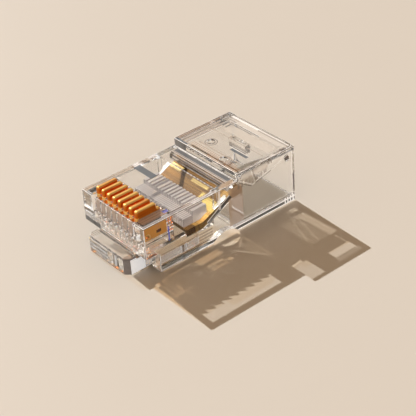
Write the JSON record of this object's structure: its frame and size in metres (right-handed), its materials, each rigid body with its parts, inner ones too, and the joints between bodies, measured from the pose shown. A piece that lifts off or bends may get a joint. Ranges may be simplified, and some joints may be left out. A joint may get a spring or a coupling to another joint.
{
  "type": "modular plug",
  "caption": "Clear moulded modular plug, not yet crimped, with gold blade contacts, a latch tab, a wire comb, a gold ramp plate and a fold-down clamp bar.",
  "frame": {"origin": "middle of the plug's length and width on the surface it lies on", "axes": "+X across the contacts, +Y from the nose to the cable entry, +Z from the latch side up to the contact side"},
  "size_m": [0.0116, 0.0242, 0.0077],
  "materials": {
    "clear_polycarbonate": "clear, polished as moulded",
    "clear_load_bar": "clear, faintly blue, polished as moulded",
    "gold_plate": "pale gold plating over folded sheet, satin",
    "gold_contact": "gold plating over stamped copper alloy, bright"
  },
  "bodies": {
    "housing": {"housing": "clear_polycarbonate", "load_bar": "clear_load_bar", "strain_relief_plate": "gold_plate"},
    "latch_tab": {"latch_tab": "clear_polycarbonate"},
    "clamp_bar": {"clamp_bar": "clear_polycarbonate"},
    "contact_1": {"contact_1": "gold_contact"},
    "contact_2": {"contact_2": "gold_contact"},
    "contact_3": {"contact_3": "gold_contact"},
    "contact_4": {"contact_4": "gold_contact"},
    "contact_5": {"contact_5": "gold_contact"},
    "contact_6": {"contact_6": "gold_contact"},
    "contact_7": {"contact_7": "gold_contact"},
    "contact_8": {"contact_8": "gold_contact"}
  },
  "joints": [
    {"name": "latch_press", "type": "hinge", "parent": "housing", "child": "latch_tab", "pos_m": [0, -0.0097, 0.00222], "axis": [1, 0, 0], "range_deg": [0, 8], "stiffness_Nm_per_rad": 0.12},
    {"name": "clamp_fold", "type": "hinge", "parent": "housing", "child": "clamp_bar", "pos_m": [0, 0.0028, 0.00645], "axis": [1, 0, 0], "range_deg": [0, 18]},
    {"name": "contact_1_press", "type": "slide", "parent": "housing", "child": "contact_1", "axis": [0, 0, -1], "range_m": [0, 0.0011]},
    {"name": "contact_2_press", "type": "slide", "parent": "housing", "child": "contact_2", "axis": [0, 0, -1], "range_m": [0, 0.0011]},
    {"name": "contact_3_press", "type": "slide", "parent": "housing", "child": "contact_3", "axis": [0, 0, -1], "range_m": [0, 0.0011]},
    {"name": "contact_4_press", "type": "slide", "parent": "housing", "child": "contact_4", "axis": [0, 0, -1], "range_m": [0, 0.0011]},
    {"name": "contact_5_press", "type": "slide", "parent": "housing", "child": "contact_5", "axis": [0, 0, -1], "range_m": [0, 0.0011]},
    {"name": "contact_6_press", "type": "slide", "parent": "housing", "child": "contact_6", "axis": [0, 0, -1], "range_m": [0, 0.0011]},
    {"name": "contact_7_press", "type": "slide", "parent": "housing", "child": "contact_7", "axis": [0, 0, -1], "range_m": [0, 0.0011]},
    {"name": "contact_8_press", "type": "slide", "parent": "housing", "child": "contact_8", "axis": [0, 0, -1], "range_m": [0, 0.0011]}
  ]
}
